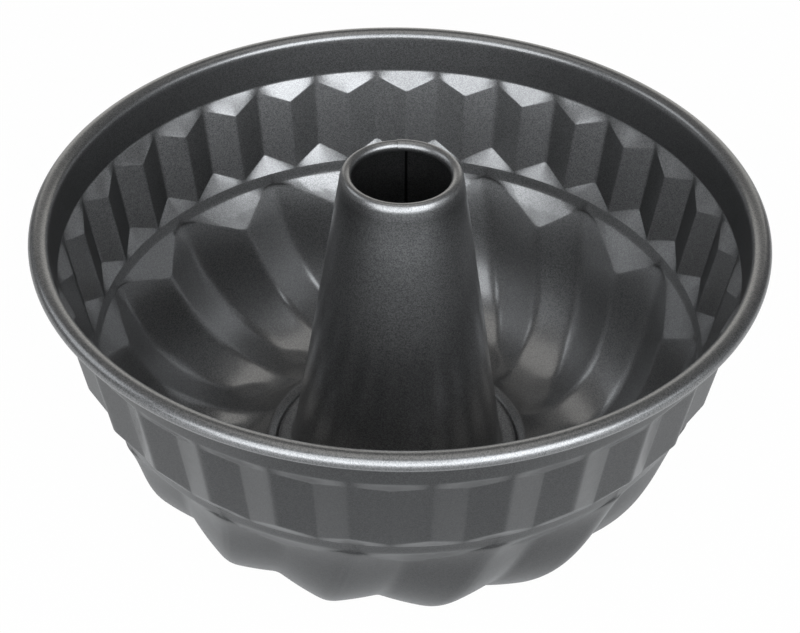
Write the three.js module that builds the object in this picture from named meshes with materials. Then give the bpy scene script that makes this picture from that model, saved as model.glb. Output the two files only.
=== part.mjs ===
import * as THREE from 'three';

// A kugelhopf mould: a fluted bowl pressed from one sheet, a tapered tube up the middle of it,
// and the wire that the rim is rolled round. Millimetres and degrees, +Z up, standing on z = 0.
// Depths are measured down from the centre of the rim bead, angles clockwise from +X seen from above.

// Sheet and rim
const SHEET = 0.7;
const RIM_RADIUS = 110;
const BEAD_WIDTH = 5.7;
const BEAD_HEIGHT = 5;
const CURL_END = -128;
const WIRE_GAP = 0.35;
const WIRE_STEPS = 60;

// Plain collar under the bead
const COLLAR_DEPTH = 13;
const COLLAR_LEAN = 7.4;

// Pleated band and the plain ring under it
const FLUTES = 15;
const PLEATS = 2 * FLUTES;
const PLEAT_DEPTH = 2.85;
const PLEAT_TIP = 1.6;
const TIP_DROP = 0.8;
const BAND_HEIGHT = 30;
const BAND_LEAN = 9.2;
const TOP_LEDGE_DROP = 4.8;
const BOTTOM_LEDGE_DROP = 5.9;
const RING_HEIGHT = 3.4;

// Swirled flutes. The wall and floor sweep round a centre level with the foot of the ring, from
// station 0 at the ring to station 1 at the floor's inner edge. The lists are the four handles of a
// curve along the sweep: how the flutes deepen, how far they have turned, and which part of the pitch
// lies on the falling side of the ridge.
const SWEEP_REACH = 45.4;
const FLOOR_DEPTH = 90.7;
const WALL_BULGE = 0.755;
const TROUGH_BULGE = 1.438;
const FLUTE_DEPTH = 5.2;
const FLUTE_GROWTH = [0.6, 0.85, 1, 0];
const FLUTE_TURN = [0, 3.1, 5.9, 26];
const RIDGE_PART = [0.6, 0.44, 0.7, 0.2];
const CREST_WIDTH = 2.4;
const FLUTE_LEDGE_SLOPE = 53;
const STANDING_FLAT = 0.8;
const CREST_PRESS = 0.2;
const FLUTE_ROWS = 8;

// Seat for the tube, round the hole in the floor
const SEAT_DROP = 1.9;
const SEAT_GAP = 0.5;
const SHOULDER = 3;
const HOLE_CLEARANCE = 0.35;
const CLAMP_CLEARANCE = 0.15;

// Centre tube
const TUBE_RISE = 15.3;
const TUBE_RADIUS_AT_RIM = 20.5;
const TUBE_TAPER = 8.84;
const LIP_RADIUS = 1.5;
const LIP_SHOULDER = 3.5;
const LIP_END = 205;
const LAP_WIDTH = 3;
const LAP_ANGLE = -87;
const LAP_EDGE = 0.6;
const FOOT_BEAD_WIDTH = 4.5;
const HEM_WIDTH = 3.5;
const TUBE_STEPS = 32;

const rad = THREE.MathUtils.degToRad;
const deg = THREE.MathUtils.radToDeg;
const mix = THREE.MathUtils.lerp;
const slope = (angle) => Math.tan(rad(angle));

// Radii and depths that follow from the sizes above
const beadCentre = RIM_RADIUS - BEAD_WIDTH / 2;
const collarRadius = RIM_RADIUS - BEAD_WIDTH - COLLAR_DEPTH * slope(COLLAR_LEAN);
const ringDepth = COLLAR_DEPTH + BAND_HEIGHT;
const ringRadius = collarRadius - PLEAT_DEPTH - BAND_HEIGHT * slope(BAND_LEAN);
const sweepDepth = ringDepth + RING_HEIGHT;
const sweepRadius = ringRadius - SWEEP_REACH;
const sweepDrop = FLOOR_DEPTH - sweepDepth;
const pleatPitch = 360 / PLEATS;
const flutePitch = 360 / FLUTES;
const crestPart = CREST_WIDTH / 2 / ringRadius / rad(flutePitch);

const tubeRadius = (depth) => TUBE_RADIUS_AT_RIM + depth * slope(TUBE_TAPER);
const tubeWall = SHEET / Math.cos(rad(TUBE_TAPER));
const seatDepth = FLOOR_DEPTH + SEAT_DROP;
const footBeadUnder = seatDepth - CLAMP_CLEARANCE;
const footBeadDepth = footBeadUnder - 2 * SHEET;
const footBeadRadius = tubeRadius(footBeadDepth) + FOOT_BEAD_WIDTH;
const hemDepth = seatDepth + SHEET + CLAMP_CLEARANCE;
const neckRadius = tubeRadius(hemDepth);
const seatRadius = footBeadRadius + SEAT_GAP;
const floorRadius = seatRadius + SHOULDER;

const floorReach = (floorRadius - sweepRadius) / SWEEP_REACH;
const sweepEnd = Math.hypot(floorReach, 1);
const sweepAngle = Math.atan2(1, floorReach);

// A smooth curve from its first handle to its last, drawn towards the two between
function curve([a, b, c, d], x) {
  const y = 1 - x;
  return a * y ** 3 + 3 * b * y * y * x + 3 * c * y * x * x + d * x ** 3;
}

// A point of the fluted wall before it is pressed flat to stand on
function sweepPoint(station, ridgeShare) {
  const bulge = curve([1, WALL_BULGE, TROUGH_BULGE, sweepEnd], station);
  const depth = ridgeShare * FLUTE_DEPTH * curve(FLUTE_GROWTH, station);
  const a = sweepAngle * station;
  return {
    radius: sweepRadius + (SWEEP_REACH * bulge - depth) * Math.cos(a),
    depth: sweepDepth + (sweepDrop * bulge - depth) * Math.sin(a),
  };
}

let lowest = 0;
for (let k = 0; k <= 100; k++) lowest = Math.max(lowest, sweepPoint(k / 100, 0).depth);
const troughDepth = lowest - STANDING_FLAT;
const standDepth = troughDepth + SHEET;

// One point at a radius, a clockwise angle and a depth below the rim
function place(radius, angle, depth) {
  const a = -rad(angle);
  return new THREE.Vector3(radius * Math.cos(a), radius * Math.sin(a), standDepth - depth);
}

// A closed grid: rows and columns both join up end to start, and each square takes its shorter diagonal
function closedGrid(rows) {
  const columns = rows[0].length;
  const points = rows.flat();
  const at = (i, j) => (i % rows.length) * columns + (j % columns);
  const index = [];
  for (let i = 0; i < rows.length; i++) {
    for (let j = 0; j < columns; j++) {
      const [a, b, c, d] = [at(i, j), at(i + 1, j), at(i + 1, j + 1), at(i, j + 1)];
      if (points[a].distanceTo(points[c]) < points[b].distanceTo(points[d])) index.push(a, b, c, a, c, d);
      else index.push(a, b, d, b, c, d);
    }
  }
  if (signedVolume(points, index) < 0) index.reverse();
  const geometry = new THREE.BufferGeometry();
  geometry.setFromPoints(points);
  geometry.setIndex(index);
  geometry.computeVertexNormals();
  return geometry;
}

function signedVolume(points, index) {
  let volume = 0;
  for (let k = 0; k < index.length; k += 3) {
    const [a, b, c] = [points[index[k]], points[index[k + 1]], points[index[k + 2]]];
    volume += a.dot(b.clone().cross(c)) / 6;
  }
  return volume;
}

// The far face of the sheet: every point of the near face moved back by the sheet's thickness,
// and pressed flat where it all but touches the ground
function backOfSheet(rows) {
  const columns = rows[0].length;
  const normals = rows.map((row) => row.map(() => new THREE.Vector3()));
  for (let i = 0; i + 1 < rows.length; i++) {
    for (let j = 0; j < columns; j++) {
      const k = (j + 1) % columns;
      const down = rows[i + 1][k].clone().sub(rows[i][j]);
      const along = rows[i][k].clone().sub(rows[i + 1][j]);
      const normal = along.cross(down).normalize();
      for (const [a, b] of [[i, j], [i + 1, j], [i, k], [i + 1, k]]) normals[a][b].add(normal);
    }
  }
  return rows.map((row, i) => row.map((p, j) => {
    const q = p.clone().addScaledVector(normals[i][j].normalize(), SHEET);
    if (q.z < CREST_PRESS) q.z = 0;
    return q;
  }));
}

// Rim bead: the sheet rolls over the top and back under itself, and stays open at the end
function beadRows() {
  const angles = [];
  for (let k = 0; k < 4; k++) angles.push(mix(CURL_END, 0, k / 4));
  for (let k = 0; k <= 5; k++) angles.push(mix(0, 180 - COLLAR_LEAN, k / 5));
  return angles.map((a) => (
    plainRow(beadCentre + (BEAD_WIDTH / 2) * Math.cos(rad(a)), -(BEAD_HEIGHT / 2) * Math.sin(rad(a)))
  ));
}

// Pleats: each has a flat outer tip, two columns wide, and an inner ridge
const tipAngle = deg(PLEAT_TIP / collarRadius);
const pleatColumns = [];
for (let k = 0; k < PLEATS; k++) {
  pleatColumns.push({ angle: k * pleatPitch - tipAngle / 2, ridge: false });
  pleatColumns.push({ angle: k * pleatPitch + tipAngle / 2, ridge: false });
  pleatColumns.push({ angle: (k + 0.5) * pleatPitch, ridge: true });
}

function plainRow(radius, depth) {
  return pleatColumns.map(({ angle }) => place(radius, angle, depth));
}

function bandRow(tipDepth, ridgeDepth) {
  return pleatColumns.map(({ angle, ridge }) => {
    const depth = ridge ? ridgeDepth : tipDepth;
    const tip = collarRadius - (depth - COLLAR_DEPTH) * slope(BAND_LEAN);
    return place(ridge ? tip - PLEAT_DEPTH : tip, angle, depth);
  });
}

// Six columns to a flute: both edges of the outer crest, the middle of the falling flank,
// both edges of the inner ridge, and the middle of the rising flank
const fluteColumns = [
  { ridgeShare: 0, part: () => -crestPart },
  { ridgeShare: 0, part: () => crestPart },
  { ridgeShare: 0.5, part: (ridge) => ridge / 2 },
  { ridgeShare: 1, part: (ridge) => ridge - crestPart },
  { ridgeShare: 1, part: (ridge) => ridge + crestPart },
  { ridgeShare: 0.5, part: (ridge) => (ridge + 1) / 2 },
];

// The station where a column leaves the sloping ledge under the ring
function ledgeStation(ridgeShare) {
  let low = 0.015;
  let high = 0.5;
  for (let k = 0; k < 40; k++) {
    const station = (low + high) / 2;
    const { radius, depth } = sweepPoint(station, ridgeShare);
    const ledge = sweepDepth + (ringRadius - radius) * slope(FLUTE_LEDGE_SLOPE);
    if (depth < ledge) low = station;
    else high = station;
  }
  return low;
}

function fluteRow(along) {
  const row = [];
  for (let k = 0; k < FLUTES; k++) {
    for (const { ridgeShare, part } of fluteColumns) {
      const station = mix(ledgeStation(ridgeShare), 1, along);
      const { radius, depth } = sweepPoint(station, ridgeShare);
      const pitches = k + part(curve(RIDGE_PART, station));
      const turn = curve(FLUTE_TURN, station) + flutePitch * pitches;
      row.push(place(radius, turn, Math.min(depth, troughDepth)));
    }
  }
  return row;
}

function floorRow(radius, depth) {
  const count = FLUTES * fluteColumns.length;
  const start = curve(FLUTE_TURN, 1);
  return Array.from({ length: count }, (_, k) => place(radius, start + (k * 360) / count, depth));
}

function bowlGeometry() {
  const near = beadRows();
  near.push(plainRow(collarRadius, COLLAR_DEPTH));
  near.push(bandRow(COLLAR_DEPTH + TIP_DROP, COLLAR_DEPTH + TOP_LEDGE_DROP));
  near.push(bandRow(ringDepth - BOTTOM_LEDGE_DROP, ringDepth - TIP_DROP));
  near.push(plainRow(ringRadius, ringDepth));
  near.push(plainRow(ringRadius, sweepDepth));
  for (let k = 0; k <= FLUTE_ROWS; k++) near.push(fluteRow(k / FLUTE_ROWS));
  near.push(floorRow(seatRadius + SHEET, mix(FLOOR_DEPTH, seatDepth, 0.6)));
  near.push(floorRow(seatRadius, seatDepth));
  near.push(floorRow(neckRadius + HOLE_CLEARANCE, seatDepth));
  return closedGrid([...near, ...backOfSheet(near).reverse()]);
}

// Points of the tube's section, outside face then inside face: the rolled-in lip with its long outer
// shoulder, the tapered wall, the swaged bead that lies on the seat, the neck through the hole and the
// hem flared out under it. The wall is a spiral that laps itself along the back, and follow says how
// much of that a point takes.
function tubeSection() {
  const shoulderDepth = LIP_SHOULDER - TUBE_RISE;
  const lipCentre = tubeRadius(shoulderDepth) - LIP_RADIUS / Math.cos(rad(TUBE_TAPER));
  const outside = [];
  const inside = [];
  for (let k = 0; k <= 5; k++) {
    const angle = mix(LIP_END, TUBE_TAPER, k / 5);
    const rise = angle < 90 ? LIP_SHOULDER : LIP_RADIUS;
    const arc = (inset) => ({
      radius: lipCentre + (LIP_RADIUS - inset) * Math.cos(rad(angle)),
      depth: rise - TUBE_RISE - (rise - inset) * Math.sin(rad(angle)),
      follow: k / 5,
    });
    outside.push(arc(0));
    inside.push(arc(SHEET));
  }
  const middle = FLOOR_DEPTH / 2;
  const fillet = footBeadDepth - SHEET;
  outside.push(
    { radius: tubeRadius(middle), depth: middle, follow: 1 },
    { radius: tubeRadius(fillet), depth: fillet, follow: 0 },
    { radius: tubeRadius(footBeadDepth) + SHEET, depth: footBeadDepth, follow: 0 },
    { radius: footBeadRadius - SHEET / 2, depth: footBeadDepth, follow: 0 },
    { radius: footBeadRadius, depth: footBeadDepth + SHEET, follow: 0 },
    { radius: footBeadRadius - SHEET / 2, depth: footBeadUnder, follow: 0 },
    { radius: neckRadius, depth: footBeadUnder, follow: 0 },
    { radius: neckRadius, depth: hemDepth, follow: 0 },
    { radius: neckRadius + HEM_WIDTH, depth: hemDepth, follow: 0 },
    { radius: neckRadius + HEM_WIDTH, depth: hemDepth + SHEET, follow: 0 },
  );
  inside.push(
    { radius: tubeRadius(middle) - tubeWall, depth: middle, follow: 1 },
    { radius: tubeRadius(fillet) - tubeWall, depth: fillet, follow: 0 },
    { radius: neckRadius - tubeWall, depth: hemDepth - SHEET, follow: 0 },
    { radius: neckRadius + SHEET / 2, depth: hemDepth + SHEET, follow: 0 },
  );
  return { outside, inside };
}

// Columns round the tube from the inner edge of the lap, with how far the spiral has moved out there
function tubeColumns() {
  const lap = deg(LAP_WIDTH / TUBE_RADIUS_AT_RIM);
  const columns = [0, 0.5, 1].map((k) => ({ turn: lap * k, out: 0.5, in: -0.5 }));
  for (let k = 0; k <= TUBE_STEPS; k++) {
    const spiral = mix(-0.5, 0.5, k / TUBE_STEPS);
    columns.push({ turn: mix(lap + LAP_EDGE, 360 - LAP_EDGE, k / TUBE_STEPS), out: spiral, in: spiral });
  }
  return columns;
}

function tubeGeometry() {
  const { outside, inside } = tubeSection();
  const columns = tubeColumns();
  const row = (face) => ({ radius, depth, follow }) => columns.map((column) => (
    place(radius + follow * SHEET * column[face], LAP_ANGLE - column.turn, depth)
  ));
  return closedGrid([...outside.map(row('out')), ...inside.reverse().map(row('in'))]);
}

function wireGeometry() {
  const radius = BEAD_HEIGHT / 2 - SHEET - WIRE_GAP;
  const rows = [];
  for (let k = 0; k < 6; k++) {
    const a = rad(k * 60);
    const ring = (_, j) => (
      place(beadCentre + radius * Math.cos(a), (j * 360) / WIRE_STEPS, -radius * Math.sin(a))
    );
    rows.push(Array.from({ length: WIRE_STEPS }, ring));
  }
  return closedGrid(rows);
}

function part(name, geometry, colour, roughness, metalness) {
  const material = new THREE.MeshStandardMaterial({ color: colour, roughness, metalness });
  const mesh = new THREE.Mesh(geometry, material);
  mesh.name = name;
  return mesh;
}

const group = new THREE.Group();
group.name = 'kugelhopf_mould';
group.add(
  part('bowl', bowlGeometry(), 0x4c4c4e, 0.42, 0.55),
  part('centre_tube', tubeGeometry(), 0x4a4a4c, 0.42, 0.55),
  part('rim_wire', wireGeometry(), 0x9a9a9c, 0.35, 0.9),
);

export default group;
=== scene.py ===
"""Looks for the kugelhopf mould: the pressed bowl and the centre tube with rounded creases and a dark,
metallic-flake non-stick coating, on a plain pale floor under soft studio light."""

import math

import bpy
import numpy as np
from mathutils import Matrix, Vector


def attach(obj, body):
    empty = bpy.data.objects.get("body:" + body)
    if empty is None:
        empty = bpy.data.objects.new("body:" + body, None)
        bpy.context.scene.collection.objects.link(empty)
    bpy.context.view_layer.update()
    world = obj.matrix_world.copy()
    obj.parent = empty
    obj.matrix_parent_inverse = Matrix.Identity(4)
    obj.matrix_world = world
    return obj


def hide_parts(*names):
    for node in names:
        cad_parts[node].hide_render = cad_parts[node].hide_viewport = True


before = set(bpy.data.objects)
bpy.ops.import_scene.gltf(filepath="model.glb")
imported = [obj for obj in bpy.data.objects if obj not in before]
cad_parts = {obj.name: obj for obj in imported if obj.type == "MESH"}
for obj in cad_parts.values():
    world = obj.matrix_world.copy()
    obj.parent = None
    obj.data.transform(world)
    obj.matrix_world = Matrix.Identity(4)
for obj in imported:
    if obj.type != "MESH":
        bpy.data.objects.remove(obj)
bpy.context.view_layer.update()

MM = 0.001

# Sizes of the CAD part, in millimetres and degrees. Depths run down from the centre of the rim bead,
# angles clockwise from +X seen from above.
SHEET = 0.7
RIM_RADIUS = 110
BEAD_WIDTH = 5.7
BEAD_HEIGHT = 5
CURL_END = -128
COLLAR_DEPTH = 13
COLLAR_LEAN = 7.4
FLUTES = 15
PLEATS = 2 * FLUTES
PLEAT_DEPTH = 2.85
TIP_DROP = 0.8
BAND_HEIGHT = 30
BAND_LEAN = 9.2
TOP_LEDGE_DROP = 4.8
BOTTOM_LEDGE_DROP = 5.9
RING_HEIGHT = 3.4
SWEEP_REACH = 45.4
FLOOR_DEPTH = 90.7
WALL_BULGE = 0.755
TROUGH_BULGE = 1.438
FLUTE_DEPTH = 5.2
FLUTE_GROWTH = (0.6, 0.85, 1, 0)
FLUTE_TURN = (0, 3.1, 5.9, 26)
RIDGE_PART = (0.6, 0.44, 0.7, 0.2)
CREST_WIDTH = 2.4
FLUTE_LEDGE_SLOPE = 53
STANDING_FLAT = 0.8
SEAT_DROP = 1.9
SEAT_GAP = 0.5
SEAT_BEND = 0.6
SHOULDER = 3
HOLE_CLEARANCE = 0.35
CLAMP_CLEARANCE = 0.15
TUBE_RISE = 15.3
TUBE_RADIUS_AT_RIM = 20.5
TUBE_TAPER = 8.84
LIP_SHOULDER = 3.5
LIP_END = 205
LAP_WIDTH = 3
LAP_ANGLE = -87
LAP_EDGE = 0.6
FOOT_BEAD_WIDTH = 4.5
HEM_WIDTH = 3.5

# How far each rounded crease is blended to either side
BAND_SOFT = 0.55
COLLAR_SOFT = 0.4
RING_SOFT = 1.1
LEDGE_SOFT = 0.65
RIDGE_SOFT = 1.2
TROUGH_SOFT = 2.6
SEAT_SOFT = 0.55
TUBE_SOFT = 0.5

# Small shapes that differ from the CAD part: a narrower flat on the pleats' tips, a top ledge that starts
# higher, a ring that leans, and a fuller lip on the tube
PLEAT_TIP = 0.8
LEDGE_RISE = 1.25
RING_LEAN = 13
LIP_RADIUS = 1.9

# Tones are painted light and shade. They multiply the colour of the coating and, below 1, its gloss, and a
# gain raises a tone by the way that the surface faces. On the food side: painted shade in the collar,
# painted light on the band and its flanks, painted highlights on the band's ledges and the flutes' ledges,
# with the margin round a zone and the fade from the bead into the collar's painted shade
COLLAR_PAINTED_SHADE = 0.57
BAND_PAINTED_LIGHT = 1.25
FLANK_PAINTED_LIGHT_GAIN = 2
SHELF_PAINTED_HIGHLIGHT = 1.1
FLUTE_SHELF_PAINTED_HIGHLIGHT = 2
ZONE_MARGIN = 0.3
BEAD_FADE = 0.5

# On the outer side, painted shade: a little on the collar and the band, more on the flutes, and most on the
# ledges under the ring that face down, with their margin
OUTER_PAINTED_SHADE = 0.92
FLUTE_PAINTED_SHADE = 0.8
LEDGE_PAINTED_SHADE = 0.75
OUTER_MARGIN = 0.5

# On the tube: painted shade and light by depth from the lip down, painted light more on its right, and the
# lap's edge in the bore
TUBE_PAINTED_LIGHT_DEPTHS = (-13, -10, 0, 30)
TUBE_PAINTED_LIGHT = (1, 0.6, 1, 1.2)
TUBE_RIGHT_PAINTED_LIGHT = 0.2
SEAM_TONE = 0

# Rows of the bowl's grid down each zone, and its columns round each pleat and flute
BEAD_ROWS = 46
COLLAR_ROWS = 14
BAND_LEDGE_ROWS = 10
BAND_ROWS = 22
RING_ROWS = 10
FLUTE_LEDGE_ROWS = 12
FLUTE_ROWS = 66
SEAT_ROWS = (6, 4, 12)
PLEAT_COLUMNS = 16
FLUTE_COLUMNS = 2 * PLEAT_COLUMNS
COLUMNS = PLEATS * PLEAT_COLUMNS

# Rows round the tube's lip, the spacing of its other rows, and its columns in the lap and round the rest
LIP_ROWS = 33
TUBE_SPACING = 0.6
LAP_COLUMNS = 9
ROUND_COLUMNS = 216

# Height within which the outer side is pressed flat on the ground, how far a rounded crease is off the sharp
# one where the coating is rubbed most, the rub along the lip, and the angle from which an edge stays sharp
STANDING_REACH = 0.2
WEAR_REACH = 0.12
LIP_WEAR = 0.8
SHARP_ANGLE = 50


def slope(angle):
    """Tangent of an angle in degrees."""
    return math.tan(math.radians(angle))


def curve(handles, x):
    """Cubic curve from the first of four handles at 0 to the last at 1."""
    a, b, c, d = handles
    y = 1 - x
    return a * y**3 + 3 * b * y * y * x + 3 * c * y * x * x + d * x**3


bead_centre = RIM_RADIUS - BEAD_WIDTH / 2
collar_radius = RIM_RADIUS - BEAD_WIDTH - COLLAR_DEPTH * slope(COLLAR_LEAN)
ledge_depth = COLLAR_DEPTH - LEDGE_RISE
ring_depth = COLLAR_DEPTH + BAND_HEIGHT
ring_radius = collar_radius - PLEAT_DEPTH - BAND_HEIGHT * slope(BAND_LEAN)
sweep_depth = ring_depth + RING_HEIGHT
sweep_radius = ring_radius - SWEEP_REACH
sweep_drop = FLOOR_DEPTH - sweep_depth
pleat_pitch = 360 / PLEATS
flute_pitch = 360 / FLUTES
crest_part = CREST_WIDTH / 2 / ring_radius / math.radians(flute_pitch)


def tube_radius(depth):
    return TUBE_RADIUS_AT_RIM + depth * slope(TUBE_TAPER)


tube_wall = SHEET / math.cos(math.radians(TUBE_TAPER))
seat_depth = FLOOR_DEPTH + SEAT_DROP
foot_bead_under = seat_depth - CLAMP_CLEARANCE
foot_bead_depth = foot_bead_under - 2 * SHEET
foot_bead_radius = tube_radius(foot_bead_depth) + FOOT_BEAD_WIDTH
hem_depth = seat_depth + SHEET + CLAMP_CLEARANCE
neck_radius = tube_radius(hem_depth)
seat_radius = foot_bead_radius + SEAT_GAP
floor_radius = seat_radius + SHOULDER
floor_reach = (floor_radius - sweep_radius) / SWEEP_REACH
sweep_end = math.hypot(floor_reach, 1)
sweep_angle = math.atan2(1, floor_reach)


def sweep(station, share):
    """Radius and depth of the fluted wall: share 0 is the outer crest and 1 the inner ridge."""
    bulge = curve((1, WALL_BULGE, TROUGH_BULGE, sweep_end), station)
    depth = share * FLUTE_DEPTH * curve(FLUTE_GROWTH, station)
    a = sweep_angle * station
    radius = sweep_radius + (SWEEP_REACH * bulge - depth) * np.cos(a)
    return radius, sweep_depth + (sweep_drop * bulge - depth) * np.sin(a)


trough_depth = sweep(np.linspace(0, 1, 101), 0)[1].max() - STANDING_FLAT
stand_depth = trough_depth + SHEET


def place(radius, angle, depth):
    """Points in the part's frame, in millimetres, from their radius, angle and depth."""
    a = -np.radians(angle)
    radius, a, depth = np.broadcast_arrays(radius, a, depth)
    return np.stack([radius * np.cos(a), radius * np.sin(a), stand_depth - depth], -1)


def steps(start, end, count):
    """Count rows from just after start up to end."""
    return [start + (end - start) * k / count for k in range(1, count + 1)]


def gathered(start, end, count):
    """Count rows from just after start up to end, closer together near both."""
    return [start + (end - start) * (1 - math.cos(math.pi * t)) / 2 for t in steps(0, 1, count)]


# Where each column of the bowl's grid lies on its pleat: share 0 is the outer tip and 1 the inner ridge
column = np.arange(COLUMNS)
pleat_column = column % PLEAT_COLUMNS
half_pleat = PLEAT_COLUMNS // 2
tip_half = math.degrees(PLEAT_TIP / collar_radius) / 2
pleat_start = column // PLEAT_COLUMNS * pleat_pitch
pleat_share = np.where(pleat_column <= half_pleat, pleat_column - 1, PLEAT_COLUMNS - 1 - pleat_column)
pleat_share = pleat_share / (half_pleat - 1)
pleat_share = (1 - np.cos(np.pi * np.clip(pleat_share, 0, 1))) / 2
pleat_tip = pleat_start + np.where(pleat_column <= half_pleat, tip_half, pleat_pitch - tip_half)
pleat_tip = np.where(pleat_column == 0, pleat_start, pleat_tip)
pleat_ridge = pleat_start + pleat_pitch / 2
pleat_angle = pleat_tip + (pleat_ridge - pleat_tip) * pleat_share

# The same on its flute: down from the outer crest to the inner ridge and up to the next crest
flute_column = column % FLUTE_COLUMNS
half_flute = FLUTE_COLUMNS // 2
flute_start = column // FLUTE_COLUMNS * flute_pitch
falling = np.clip((flute_column - 1) / (half_flute - 2), 0, 1)
rising = np.clip((flute_column - half_flute - 1) / (half_flute - 2), 0, 1)
flute_share = np.where(flute_column < half_flute, falling, 1 - rising)


def flute_angle(station):
    """Angle of every column at a station of the swirled wall."""
    ridge = curve(RIDGE_PART, station)
    down = crest_part + (ridge - 2 * crest_part) * falling
    up = ridge + crest_part + (1 - ridge - 2 * crest_part) * rising
    part = np.where(flute_column < half_flute, down, up)
    part = np.where(flute_column == half_flute, ridge, part)
    part = np.where(flute_column == 0, 0, part)
    return curve(FLUTE_TURN, station) + flute_start + flute_pitch * part


def band_row(tip_depth, ridge_depth):
    """Flat facets between the pleats' outer tips and inner ridges."""

    def tip(depth):
        return collar_radius - (depth - COLLAR_DEPTH) * slope(BAND_LEAN)

    outer = place(tip(tip_depth), pleat_tip, tip_depth)
    inner = place(tip(ridge_depth) - PLEAT_DEPTH, pleat_ridge, ridge_depth)
    return outer + (inner - outer) * pleat_share[:, None]


def ledge_station():
    """Where each column leaves the sloping ledge under the ring, found by halving."""
    low = np.full(COLUMNS, 0.015)
    high = np.full(COLUMNS, 0.5)
    for _ in range(40):
        station = (low + high) / 2
        radius, depth = sweep(station, flute_share)
        above = depth < sweep_depth + (ring_radius - radius) * slope(FLUTE_LEDGE_SLOPE)
        low = np.where(above, station, low)
        high = np.where(above, high, station)
    return low


def bowl_face():
    """The food side of the sheet as rows of points, with how far each row's creases are rounded."""
    rows, down, around = [], [], []

    def add(row, reach_down, reach_around):
        rows.append(row)
        down.append(reach_down)
        around.append(reach_around)

    for a in np.linspace(CURL_END, 180 - COLLAR_LEAN, BEAD_ROWS):
        radius = bead_centre + BEAD_WIDTH / 2 * math.cos(math.radians(a))
        add(place(radius, pleat_angle, -BEAD_HEIGHT / 2 * math.sin(math.radians(a))), 0, 0)
    bead_foot = rows[-1]
    collar_foot = place(collar_radius + LEDGE_RISE * slope(COLLAR_LEAN), pleat_angle, ledge_depth)
    for t in gathered(0, 1, COLLAR_ROWS):
        add(bead_foot + (collar_foot - bead_foot) * t, COLLAR_SOFT * min(1, 2 * t), 0)
    band_top = band_row(COLLAR_DEPTH + TIP_DROP, COLLAR_DEPTH + TOP_LEDGE_DROP)
    for t in gathered(0, 1, BAND_LEDGE_ROWS):
        add(collar_foot + (band_top - collar_foot) * t, COLLAR_SOFT, BAND_SOFT)
    band_foot = band_row(ring_depth - BOTTOM_LEDGE_DROP, ring_depth - TIP_DROP)
    for t in gathered(0, 1, BAND_ROWS):
        add(band_top + (band_foot - band_top) * t, COLLAR_SOFT, BAND_SOFT)
    ring_top = place(ring_radius, pleat_angle, ring_depth)
    for t in gathered(0, 1, BAND_LEDGE_ROWS):
        add(band_foot + (ring_top - band_foot) * t, COLLAR_SOFT, BAND_SOFT)

    start = ledge_station()
    radius, depth = sweep(start, flute_share)
    angle = flute_angle(start)
    ring_foot = np.maximum(ring_radius - RING_HEIGHT * slope(RING_LEAN), radius)
    for t in gathered(0, 1, RING_ROWS):
        row = place(ring_radius + (ring_foot - ring_radius) * t, pleat_angle, ring_depth + RING_HEIGHT * t)
        add(row, RING_SOFT, BAND_SOFT)
    for t in gathered(0, 1, FLUTE_LEDGE_ROWS):
        row = place(
            ring_foot + (radius - ring_foot) * t,
            pleat_angle + (angle - pleat_angle) * t,
            sweep_depth + (depth - sweep_depth) * t,
        )
        add(row, LEDGE_SOFT, BAND_SOFT + (LEDGE_SOFT - BAND_SOFT) * t)
    for t in steps(0, 1, FLUTE_ROWS):
        station = start + (1 - start) * t
        radius, depth = sweep(station, flute_share)
        flute_soft = TROUGH_SOFT + (RIDGE_SOFT - TROUGH_SOFT) * flute_share
        soft = LEDGE_SOFT + (flute_soft - LEDGE_SOFT) * min(1, 3 * t)
        add(place(radius, flute_angle(station), np.minimum(depth, trough_depth)), LEDGE_SOFT, soft)

    end = flute_angle(1.0)
    even = curve(FLUTE_TURN, 1.0) + column * 360 / COLUMNS
    profile = [
        (floor_radius, FLOOR_DEPTH),
        (seat_radius + SHEET, FLOOR_DEPTH + SEAT_BEND * SEAT_DROP),
        (seat_radius, seat_depth),
        (neck_radius + HOLE_CLEARANCE, seat_depth),
    ]
    for (r0, d0), (r1, d1), count in zip(profile, profile[1:], SEAT_ROWS):
        for t in steps(0, 1, count):
            spread = min(1, (floor_radius - (r0 + (r1 - r0) * t)) / SHOULDER / 2)
            add(place(r0 + (r1 - r0) * t, end + (even - end) * spread, d0 + (d1 - d0) * t), SEAT_SOFT, 0)
    return np.array(rows), np.array(down), np.array([np.broadcast_to(a, COLUMNS) for a in around])


def soften(lines, reach, closed):
    """Rounds the creases across lines of points: every point becomes the mean of its line within reach, with
    more weight near it. A closed line is carried on past its ends by as many points as the pad."""
    taps = np.linspace(-1, 1, 13)
    weights = 1.05 - taps**2
    weights /= weights.sum()
    count = lines.shape[1]
    pad = 40 if closed else 0
    result = lines.copy()
    for i, line in enumerate(lines):
        w = np.broadcast_to(reach[i] if reach.ndim == 2 else reach, count)
        if w.max() == 0:
            continue
        padded = np.concatenate([line[count - pad :], line, line[:pad]]) if closed else line
        s = np.concatenate([[0], np.cumsum(np.linalg.norm(np.diff(padded, axis=0), axis=1))])
        at = s[pad : pad + count]
        if not closed:
            w = np.minimum(w, np.minimum(at, s[-1] - at))
        q = at[:, None] + w[:, None] * taps
        for c in range(3):
            result[i, :, c] = np.interp(q, s, padded[:, c]) @ weights
    return result


def face_normals(rows):
    """Unit normals of a grid that is open down its rows and closed around them."""
    down = np.gradient(rows, axis=0)
    around = np.roll(rows, -1, 1) - np.roll(rows, 1, 1)
    normal = np.cross(around, down)
    return normal / np.linalg.norm(normal, axis=-1, keepdims=True)


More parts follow.
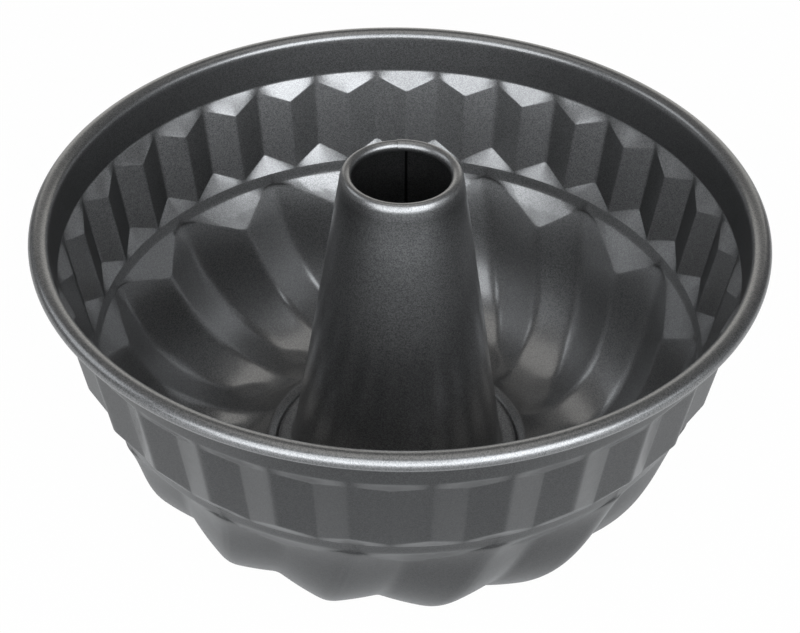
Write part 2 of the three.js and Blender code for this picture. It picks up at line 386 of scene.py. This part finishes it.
def grid_object(name, rows, edges, tones):
    """A closed solid from rows of points that join up end to start both ways, with its wear and the tone of
    its coating kept by point; the tones carry painted light and shade."""
    count, columns = rows.shape[:2]
    i, j = np.meshgrid(np.arange(count), np.arange(columns), indexing="ij")
    i2, j2 = (i + 1) % count, (j + 1) % columns
    corners = ((i, j), (i2, j), (i2, j2), (i, j2))
    quads = np.stack([row * columns + col for row, col in corners], -1).reshape(-1, 4)
    points = rows.reshape(-1, 3) * MM
    a, b, c = points[quads[:, 0]], points[quads[:, 1]], points[quads[:, 2]]
    if np.einsum("ij,ij->i", a, np.cross(b, c)).sum() < 0:
        quads = quads[:, ::-1]
    mesh = bpy.data.meshes.new(name)
    mesh.from_pydata(points.tolist(), [], quads.tolist())
    mesh.polygons.foreach_set("use_smooth", np.ones(len(quads), bool))
    mesh.set_sharp_from_angle(angle=math.radians(SHARP_ANGLE))
    for key, values in (("edge", edges), ("tone", tones)):
        kept = mesh.attributes.new(key, "FLOAT", "POINT")
        kept.data.foreach_set("value", values.reshape(-1).astype(np.float32))
    mesh.validate()
    obj = bpy.data.objects.new(name, mesh)
    bpy.context.scene.collection.objects.link(obj)
    return obj


def paint_food_side_light(near, normal):
    """Painted light and shade on the food side's coating: painted shade in the collar, less towards the
    back;
    painted highlights on the ledges, most on the flutes' ledges at the back; painted light on the band
    towards the back, most on its flanks that face the front."""
    x, y, z = near.transpose(2, 0, 1)
    depth = stand_depth - z
    radius = np.hypot(x, y)
    # Painted light rising towards the back, which faces the front lamps
    painted_light_towards_back = (0.5 + 0.5 * y / radius).clip(0.4)
    # Painted shade in the collar, fading out towards the bead
    collar = COLLAR_PAINTED_SHADE * painted_light_towards_back
    collar = collar + (1 - collar) * (BEAD_FADE - depth).clip(0, 1)
    # Painted light on the band, raised on the flanks that face the front
    flat = np.hypot(normal[:, :, 0], normal[:, :, 1]).clip(1e-6)
    turned = normal[:, :, 1] / flat - y / radius
    band = BAND_PAINTED_LIGHT * painted_light_towards_back * (1 + FLANK_PAINTED_LIGHT_GAIN * turned.clip(-0.3, 0.3))
    # Painted highlight on the flutes' ledges, rising towards the back
    flute_shelf = np.interp(y / radius, [0.5, 0.95], [1, FLUTE_SHELF_PAINTED_HIGHLIGHT])

    above_band = depth < ledge_depth - ZONE_MARGIN
    near_band = (depth > ledge_depth - ZONE_MARGIN) & (depth < ring_depth + ZONE_MARGIN)
    on_band = (depth > ledge_depth) & (depth < ring_depth) & (normal[:, :, 2] > -0.4)
    below_ring = (depth > sweep_depth - ZONE_MARGIN) & (depth < sweep_depth + FLUTE_DEPTH)
    on_flute_shelf = below_ring & (normal[:, :, 2] < -0.5)
    on_bead = (radius > bead_centre) | (depth < -BEAD_FADE)

    tone = np.where(above_band, collar, 1)
    tone = np.where(near_band, SHELF_PAINTED_HIGHLIGHT, tone)
    tone = np.where(on_flute_shelf, flute_shelf, tone)
    tone = np.where(on_band, band, tone)
    return np.where(on_bead, 1, tone)


def paint_outer_shade(near, normal):
    """Painted shade on the outer side's coating: a little on the collar and band, duller on the flutes and
    most under the ring, on the ledges that face down.
    """
    depth = stand_depth - near[:, :, 2]
    under_ring = (depth > sweep_depth - OUTER_MARGIN) & (depth < sweep_depth + FLUTE_DEPTH)
    # Painted shade: darkest on the ledges under the ring that face down
    ledge = np.interp(normal[:, :, 2], [-0.7, -0.4], [LEDGE_PAINTED_SHADE, FLUTE_PAINTED_SHADE])
    return np.where(under_ring, ledge, np.where(depth > sweep_depth, FLUTE_PAINTED_SHADE, OUTER_PAINTED_SHADE))


def bowl_object():
    """The bowl with its food side as the first material and its outer side as the second."""
    raw, down, around = bowl_face()
    near = soften(raw.transpose(1, 0, 2), down, closed=False).transpose(1, 0, 2)
    near = soften(near, around, closed=True)
    normal = face_normals(near)
    back = near + normal * SHEET
    height = back[:, :, 2]
    pressed = np.maximum(0, 2 * height - STANDING_REACH)
    back[:, :, 2] = np.where(height < STANDING_REACH, pressed, height)
    crest = np.einsum("ijk,ijk->ij", near - raw, normal) / WEAR_REACH
    edges = np.concatenate([np.clip(crest, 0, 1), np.clip(-crest, 0, 1)[::-1]])
    tones = np.concatenate([paint_food_side_light(near, normal), paint_outer_shade(near, normal)[::-1]])
    shell = grid_object("bowl_shell", np.concatenate([near, back[::-1]]), edges, tones)
    outer = np.repeat(np.arange(2 * len(near)) >= len(near), COLUMNS)
    shell.data.polygons.foreach_set("material_index", outer.astype(np.int32))
    return shell


def tube_profile(points, spacing):
    """Points along a section, close enough together to round its corners: radius, depth and how far the
    point follows the spiral that makes room for the lap."""
    result = [points[0]]
    for a, b in zip(points, points[1:]):
        count = max(1, math.ceil(math.hypot(b[0] - a[0], b[1] - a[1]) / spacing))
        for t in steps(0, 1, count):
            result.append(tuple(x + (y - x) * t for x, y in zip(a, b)))
    return np.array(result)


def tube_object():
    """The tube as one sheet whose ends overlap at the back."""
    lip_centre = tube_radius(LIP_SHOULDER - TUBE_RISE) - LIP_RADIUS / math.cos(math.radians(TUBE_TAPER))
    arc_out, arc_in = [], []
    for t in np.linspace(0, 1, LIP_ROWS):
        angle = LIP_END + (TUBE_TAPER - LIP_END) * t
        rise = LIP_SHOULDER if angle < 90 else LIP_RADIUS
        a = math.radians(angle)
        for arc, inset in ((arc_out, 0), (arc_in, SHEET)):
            radius = lip_centre + (LIP_RADIUS - inset) * math.cos(a)
            arc.append((radius, rise - TUBE_RISE - (rise - inset) * math.sin(a), t))
    fillet = foot_bead_depth - SHEET
    middle = FLOOR_DEPTH / 2
    outside = [
        arc_out[-1],
        (tube_radius(middle), middle, 1),
        (tube_radius(fillet), fillet, 0),
        (tube_radius(foot_bead_depth) + SHEET, foot_bead_depth, 0),
        (foot_bead_radius - SHEET / 2, foot_bead_depth, 0),
        (foot_bead_radius, foot_bead_depth + SHEET, 0),
        (foot_bead_radius - SHEET / 2, foot_bead_under, 0),
        (neck_radius, foot_bead_under, 0),
        (neck_radius, hem_depth, 0),
        (neck_radius + HEM_WIDTH, hem_depth, 0),
        (neck_radius + HEM_WIDTH, hem_depth + SHEET, 0),
    ]
    inside = [
        arc_in[-1],
        (tube_radius(middle) - tube_wall, middle, 1),
        (tube_radius(fillet) - tube_wall, fillet, 0),
        (neck_radius - tube_wall, hem_depth - SHEET, 0),
        (neck_radius + SHEET / 2, hem_depth + SHEET, 0),
    ]
    lap = math.degrees(LAP_WIDTH / TUBE_RADIUS_AT_RIM)
    in_lap = np.linspace(0, lap, LAP_COLUMNS)
    past_lap = np.linspace(lap + LAP_EDGE, 360 - LAP_EDGE, ROUND_COLUMNS)
    turn = np.concatenate([in_lap, past_lap])
    spiral = np.linspace(-0.5, 0.5, ROUND_COLUMNS)
    out = np.concatenate([np.full(LAP_COLUMNS, 0.5), spiral]) * SHEET
    into = np.concatenate([np.full(LAP_COLUMNS, -0.5), spiral]) * SHEET

    def rows(arc, section, shift):
        points = tube_profile(section, TUBE_SPACING)
        flat = (points * (1, 1, 0))[None]
        line = soften(flat, np.full((1, len(points)), TUBE_SOFT), closed=False)[0]
        line[:, 2] = points[:, 2]
        radius, depth, follow = np.concatenate([np.array(arc)[:-1], line]).T[:, :, None]
        return place(radius + follow * shift, LAP_ANGLE - turn, depth)

    near, back = rows(arc_out, outside, out), rows(arc_in, inside, into)
    both = np.concatenate([near, back[::-1]])
    edges = np.zeros(both.shape[:2])
    edges[:LIP_ROWS] = LIP_WEAR * np.sin(np.linspace(0, math.pi, LIP_ROWS))[:, None] ** 2
    x, y, z = both.transpose(2, 0, 1)
    # Painted shade and light on the tube: darker below the lip's top, lighter lower down and on its right
    tones = np.interp(stand_depth - z, TUBE_PAINTED_LIGHT_DEPTHS, TUBE_PAINTED_LIGHT)
    tones *= 1 + TUBE_RIGHT_PAINTED_LIGHT * (x / np.hypot(x, y)).clip(0)
    tones[len(near) :, [0, -1]] = SEAM_TONE
    return grid_object("tube_shell", both, edges, tones)


# Materials


class Nodes:
    """Short names for building a node material."""

    def __init__(self, name):
        self.material = bpy.data.materials.new(name)
        self.material.use_nodes = True
        self.tree = self.material.node_tree
        self.tree.nodes.clear()

    def add(self, kind, inputs=None, **settings):
        node = self.tree.nodes.new("ShaderNode" + kind)
        for key, value in settings.items():
            setattr(node, key, value)
        for key, value in (inputs or {}).items():
            socket = node.inputs[key]
            if isinstance(value, bpy.types.NodeSocket):
                self.tree.links.new(value, socket)
            else:
                socket.default_value = value
        return node

    def noise(self, where, scale, detail, roughness=0.5):
        values = {"Vector": where, "Scale": scale, "Detail": detail, "Roughness": roughness}
        return self.add("TexNoise", values).outputs["Fac"]

    def spread(self, value, low, high, to_low, to_high):
        values = {"Value": value, "From Min": low, "From Max": high, "To Min": to_low, "To Max": to_high}
        return self.add("MapRange", values).outputs["Result"]

    def mix(self, amount, a, b):
        node = self.add("Mix", data_type="RGBA")
        for key, value in ((0, amount), (6, a), (7, b)):
            if isinstance(value, bpy.types.NodeSocket):
                self.tree.links.new(value, node.inputs[key])
            else:
                node.inputs[key].default_value = value
        return node.outputs[2]

    def maths(self, operation, a, b=0.0):
        return self.add("Math", {0: a, 1: b}, operation=operation).outputs[0]


def coating(name, dark, pale, worn, film):
    """Dark baked coating: dull metal flakes under a glossier film, a little uneven, and rubbed paler along
    its creases. Painted light and shade from the tone attribute scale its colour and, below 1, dim its
    gloss.
    The film is the index of refraction of the gloss."""
    n = Nodes(name)
    where = n.add("TexCoord").outputs["Object"]
    drift = n.noise(where, 26, 3)
    cloud = n.noise(where, 240, 4, 0.6)
    grain = n.noise(where, 2300, 2, 0.6)
    cells = n.add("TexVoronoi", {"Vector": where, "Scale": 4000, "Randomness": 1.0})
    flake = n.add("SeparateColor", {"Color": cells.outputs["Color"]}).outputs["Red"]

    tone = n.maths("ADD", n.maths("MULTIPLY", drift, 0.06), n.maths("MULTIPLY", cloud, 0.06))
    tone = n.maths("ADD", tone, n.maths("MULTIPLY", flake, 0.6))
    base = n.mix(n.spread(tone, 0.06, 0.66, 0, 1), dark, pale)
    edge = n.add("Attribute", attribute_name="edge").outputs["Fac"]
    rub = n.maths("MULTIPLY", n.spread(edge, 0.25, 1, 0, 0.25), n.spread(cloud, 0.35, 0.65, 0.35, 1))
    base = n.mix(rub, base, worn)
    # Painted light and shade: the tone attribute scales the colour and, below 1, dims the gloss
    shade = n.add("Attribute", attribute_name="tone").outputs["Fac"]
    base = n.add("VectorMath", {0: base, "Scale": shade}, operation="SCALE").outputs["Vector"]

    rough = n.spread(n.maths("ADD", cloud, n.maths("MULTIPLY", flake, 0.3)), 0.4, 0.9, 0.46, 0.5)
    height = n.maths("ADD", n.maths("MULTIPLY", grain, 0.6), n.maths("MULTIPLY", flake, 0.4))
    bump = n.add("Bump", {"Strength": 0.12, "Distance": 0.00006, "Height": height}).outputs["Normal"]
    values = {
        "Base Color": base,
        "Metallic": 1.0,
        "Roughness": rough,
        "Normal": bump,
        "Coat Weight": n.maths("MINIMUM", shade, 1.0),
        "Coat Roughness": 0.25,
        "Coat IOR": film,
        "Coat Normal": bump,
    }
    shader = n.add("BsdfPrincipled", values)
    n.add("OutputMaterial", {"Surface": shader.outputs["BSDF"]})
    return n.material


def drawn_wire(name):
    """Bright drawn steel with fine lines along it."""
    n = Nodes(name)
    where = n.add("TexCoord").outputs["Object"]
    stretched = n.add("Mapping", {"Vector": where, "Scale": (400, 400, 4000)}).outputs["Vector"]
    lines = n.noise(stretched, 1, 4, 0.6)
    spots = n.noise(where, 300, 3)
    base = n.mix(n.spread(lines, 0.3, 0.7, 0, 1), (0.30, 0.30, 0.31, 1), (0.52, 0.52, 0.53, 1))
    base = n.mix(n.spread(spots, 0.55, 0.75, 0, 0.5), base, (0.24, 0.22, 0.20, 1))
    bump = n.add("Bump", {"Strength": 0.2, "Distance": 0.00005, "Height": lines})
    values = {
        "Base Color": base,
        "Metallic": 0.95,
        "Roughness": n.spread(lines, 0.3, 0.7, 0.28, 0.45),
        "Normal": bump.outputs["Normal"],
    }
    shader = n.add("BsdfPrincipled", values)
    n.add("OutputMaterial", {"Surface": shader.outputs["BSDF"]})
    return n.material


# Share of the floor's look that is its glow, and how much of that share shows in reflections
GLOW_SEEN = 0.985
GLOW_REFLECTED = 0.22


def pale_floor(name):
    """White studio paper: it glows white to the camera and, less, in reflections, apart from the strip in
    front of the object. Under the middle of the object it doesn't glow."""
    n = Nodes(name)
    where = n.add("TexCoord").outputs["Object"]
    fibre = n.noise(where, 900, 3)
    tone = n.mix(n.spread(fibre, 0.3, 0.7, 0, 1), (0.56, 0.56, 0.56, 1), (0.60, 0.60, 0.60, 1))
    paper = n.add("BsdfDiffuse", {"Color": tone})
    glow = n.add("Emission", {"Color": (1, 1, 1, 1), "Strength": 1.0})
    distance = n.add("VectorMath", {0: where}, operation="LENGTH").outputs["Value"]
    away = n.spread(distance, 0.04, 0.065, 0, 1)
    behind = n.spread(n.add("SeparateXYZ", {0: where}).outputs["Y"], -0.14, -0.09, 0, 1)
    path = n.add("LightPath")
    reflected = n.maths("MAXIMUM", path.outputs["Is Glossy Ray"], path.outputs["Is Transmission Ray"])
    reflected = n.maths("MULTIPLY", n.maths("MULTIPLY", reflected, behind), GLOW_REFLECTED)
    seen = n.maths("MAXIMUM", path.outputs["Is Camera Ray"], reflected)
    amount = n.maths("MULTIPLY", n.maths("MULTIPLY", seen, away), GLOW_SEEN)
    shader = n.add("MixShader", {0: amount, 1: paper.outputs[0], 2: glow.outputs[0]})
    n.add("OutputMaterial", {"Surface": shader.outputs[0]})
    return n.material


def shade_card_felt(name):
    """Dull grey cloth for a card that stands in for shade on the floor in front; only reflections see it."""
    n = Nodes(name)
    fibre = n.noise(n.add("TexCoord").outputs["Object"], 700, 3)
    tone = n.mix(fibre, (0.45, 0.45, 0.45, 1), (0.5, 0.5, 0.5, 1))
    cloth = n.add("BsdfDiffuse", {"Color": tone})
    n.add("OutputMaterial", {"Surface": cloth.outputs[0]})
    return n.material


# Pieces
bowl = bowl_object()
inside = coating(
    "inside_coating",
    dark=(0.09, 0.09, 0.092, 1),
    pale=(0.21, 0.21, 0.21, 1),
    worn=(0.31, 0.31, 0.31, 1),
    film=2.1,
)
outside = coating(
    "outside_coating",
    dark=(0.043, 0.043, 0.044, 1),
    pale=(0.078, 0.078, 0.078, 1),
    worn=(0.16, 0.16, 0.16, 1),
    film=1.55,
)
bowl.data.materials.append(inside)
bowl.data.materials.append(outside)
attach(bowl, "root")
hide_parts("bowl")

tube = tube_object()
tube.data.materials.append(inside)
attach(tube, "root")
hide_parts("centre_tube")

wire_material = drawn_wire("wire")
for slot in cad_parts["rim_wire"].material_slots:
    slot.material = wire_material

# Floor
bpy.ops.mesh.primitive_plane_add(size=8, location=(0, 0, -0.0002))
floor = bpy.context.object
floor.name = "floor"
floor.data.materials.append(pale_floor("floor"))

# Light: broad soft boxes across the front behind the camera, weaker ones at the sides, overhead and behind,
# a dim even room, and a grey card lying before the object, seen only in its reflections, as painted shade on
# the floor in front
DAYLIGHT = (0.93, 0.965, 1)
scene = bpy.context.scene
world = bpy.data.worlds.new("room")
scene.world = world
world.use_nodes = True
world.node_tree.nodes["Background"].inputs["Color"].default_value = (0.97, 0.98, 1.0, 1)
world.node_tree.nodes["Background"].inputs["Strength"].default_value = 0.12


def soft_box(name, location, target, width, height, radiance, colour):
    """A soft box, sized in metres, that faces its target and is hidden from the camera."""
    lamp = bpy.data.lights.new(name, "AREA")
    lamp.shape = "RECTANGLE"
    lamp.size, lamp.size_y = width, height
    lamp.energy = radiance * math.pi * width * height
    lamp.color = colour
    obj = bpy.data.objects.new(name, lamp)
    scene.collection.objects.link(obj)
    obj.location = location
    obj.rotation_euler = (Vector(target) - Vector(location)).to_track_quat("-Z", "Y").to_euler()
    obj.visible_camera = False


soft_box("front_low", (0.15, -0.8, 0.28), (0.15, 0, 0.28), 1.9, 0.44, 4.2, DAYLIGHT)
soft_box("front_left", (-0.6, -0.8, 0.8), (-0.6, 0, 0.8), 1.5, 0.8, 3.0, DAYLIGHT)
soft_box("front_right", (0.9, -0.8, 0.8), (0.9, 0, 0.8), 1.3, 0.8, 4.8, DAYLIGHT)
soft_box("left_box", (-1.1, 0.2, 0.8), (0, 0, 0.05), 0.8, 0.55, 1.6, DAYLIGHT)
soft_box("right_box", (1.15, -0.3, 0.5), (0, 0, 0.05), 0.6, 0.5, 0.9, DAYLIGHT)
soft_box("top_box", (0, 0.1, 1.5), (0, 0.1, 0), 1.1, 1.1, 0.75, (1, 0.98, 0.94))
soft_box("back_box", (0, 1.4, 0.5), (0, 0, 0.5), 2.0, 0.96, 0.85, (1, 0.98, 0.93))

# A grey card seen only in reflections: painted shade on the floor in front, casting no shadow of its own
bpy.ops.mesh.primitive_plane_add(size=1, location=(0, -0.29, 0.0005))
card = bpy.context.object
card.name = "card"
card.scale = (0.16, 0.34, 1)
card.data.materials.append(shade_card_felt("card"))
card.visible_camera = False
card.visible_shadow = False
card.visible_diffuse = False

# Camera
CAMERA_POSITION = (0.005828, -0.422661, 0.300730 + stand_depth * MM)
CAMERA_PITCH = 0.67771
CAMERA_YAW = 0.000785
CAMERA_ROLL = 0.016931
CAMERA_TURN = math.radians(0.79)
FOCAL_PIXELS = 1728.1
IMAGE_WIDTH = 800

cp, sp = math.cos(CAMERA_PITCH), math.sin(CAMERA_PITCH)
ahead = Vector((math.sin(CAMERA_YAW) * cp, math.cos(CAMERA_YAW) * cp, -sp))
right = Vector((math.cos(CAMERA_YAW), -math.sin(CAMERA_YAW), 0))
up = right.cross(ahead)
rolled_right = math.cos(CAMERA_ROLL) * right + math.sin(CAMERA_ROLL) * up
rolled_up = math.cos(CAMERA_ROLL) * up - math.sin(CAMERA_ROLL) * right
axes = Matrix((rolled_right, rolled_up, -ahead)).transposed()
turned = Matrix.Rotation(CAMERA_TURN, 3, "Z") @ axes
camera = bpy.data.cameras.new("camera")
camera.sensor_width = 36
camera.lens = FOCAL_PIXELS * camera.sensor_width / IMAGE_WIDTH
camera.clip_start = 0.01
eye = bpy.data.objects.new("camera", camera)
scene.collection.objects.link(eye)
eye.matrix_world = Matrix.Translation(CAMERA_POSITION) @ turned.to_4x4()
scene.camera = eye
scene.view_settings.view_transform = "Standard"
